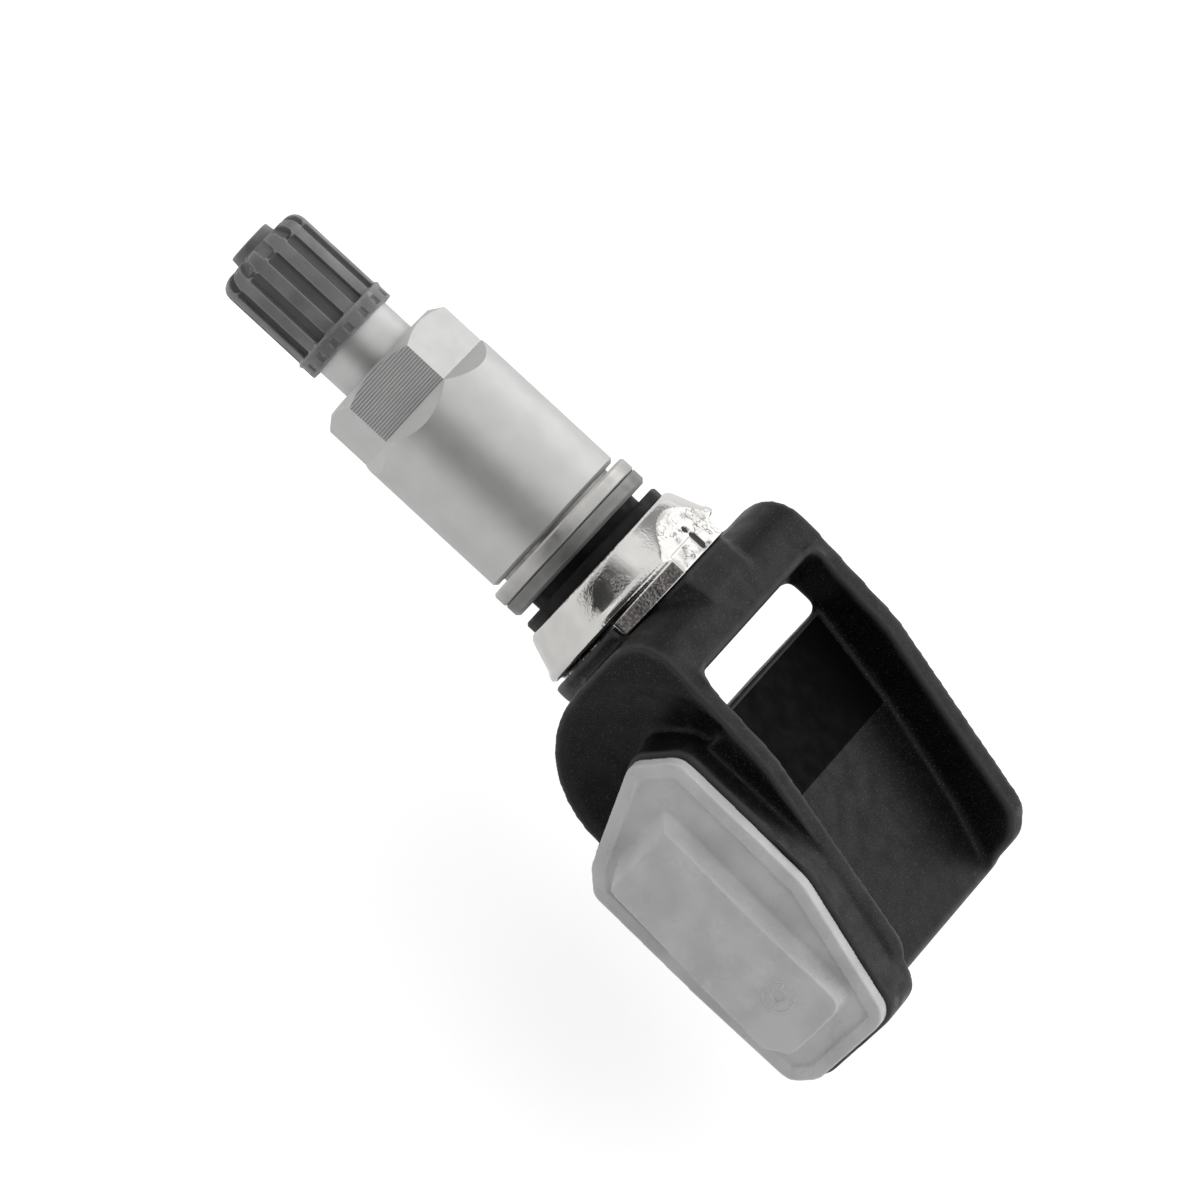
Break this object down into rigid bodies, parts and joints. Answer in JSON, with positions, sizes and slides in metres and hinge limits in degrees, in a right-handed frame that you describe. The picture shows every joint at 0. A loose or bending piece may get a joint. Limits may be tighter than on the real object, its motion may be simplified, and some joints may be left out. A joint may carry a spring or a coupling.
{
  "type": "tyre pressure sensor",
  "caption": "Wheel sensor with a clamp-in metal valve, ribbed cap, hexagon nut, rubber seal and a black housing with a channel and a translucent side cover.",
  "frame": {"origin": "centre of the rim seat, which is the outer face of the rubber flange, on the valve axis", "axes": "+X along the valve from the cap towards the sensor body, +Z towards the open side of the body's channel, +Y towards the plain wing away from the cover"},
  "size_m": [0.0802, 0.0342, 0.0196],
  "materials": {
    "anodised_aluminium": "satin anodised, fine turning marks",
    "brass": "turned",
    "seal_ring": "smooth",
    "spring_steel": "bright",
    "rubber": "matt",
    "cap_plastic": "moulded, slight sheen",
    "washer_steel": "turned",
    "ring_metal": "dull",
    "plating": "bright nickel plating over a cast surface",
    "housing_plastic": "fine grained, glass-filled",
    "cover_plastic": "translucent, waxy",
    "board": "solder mask",
    "chip": "moulded epoxy",
    "copper": "enamelled wire",
    "tinned_metal": "tinned",
    "ceramic": "ceramic"
  },
  "bodies": {
    "sensor": {"valve_stem": "anodised_aluminium", "core_body": "brass", "core_seal": "seal_ring", "core_spring": "spring_steel", "support_ring": "ring_metal", "rubber_grommet": "rubber", "base_flange": "plating", "base_screw": "spring_steel", "housing": "housing_plastic", "cover": "cover_plastic", "circuit_board": "board", "sensor_chip": "chip", "port_seal": "seal_ring", "low_frequency_coil": "copper", "coil_core": "chip", "crystal": "tinned_metal", "capacitors": "ceramic", "loop_antenna": "tinned_metal", "coin_cell": "tinned_metal", "cell_tab_upper": "tinned_metal", "cell_tab_lower": "tinned_metal"},
    "washer": {"clamp_washer": "washer_steel"},
    "nut": {"collar_nut": "anodised_aluminium"},
    "cap_insert": {"cap_gasket": "rubber"},
    "cap": {"valve_cap": "cap_plastic"},
    "pin": {"core_pin": "brass", "plunger_seal": "rubber"}
  },
  "joints": [
    {"name": "washer_slide", "type": "slide", "parent": "sensor", "child": "washer", "axis": [-1, 0, 0], "range_m": [0, 0.00238]},
    {"name": "nut_turn", "type": "hinge", "parent": "washer", "child": "nut", "pos_m": [0, 0, 0], "axis": [-1, 0, 0], "range_deg": [0, 1080]},
    {"name": "cap_lift", "type": "slide", "parent": "sensor", "child": "cap_insert", "axis": [-1, 0, 0], "range_m": [0, 0.00952]},
    {"name": "cap_turn", "type": "hinge", "parent": "cap_insert", "child": "cap", "pos_m": [0, 0, 0], "axis": [-1, 0, 0], "range_deg": [0, 4320]},
    {"name": "pin_press", "type": "slide", "parent": "sensor", "child": "pin", "axis": [1, 0, 0], "range_m": [0, 0.0012], "stiffness_N_per_m": 600, "springref_m": -0.002, "deforming": ["core_spring"]}
  ],
  "couplings": [
    {"joint": "nut_turn", "follows": "washer_slide", "rad_per_m": 7915.8},
    {"joint": "cap_turn", "follows": "cap_lift", "rad_per_m": 7915.8}
  ]
}
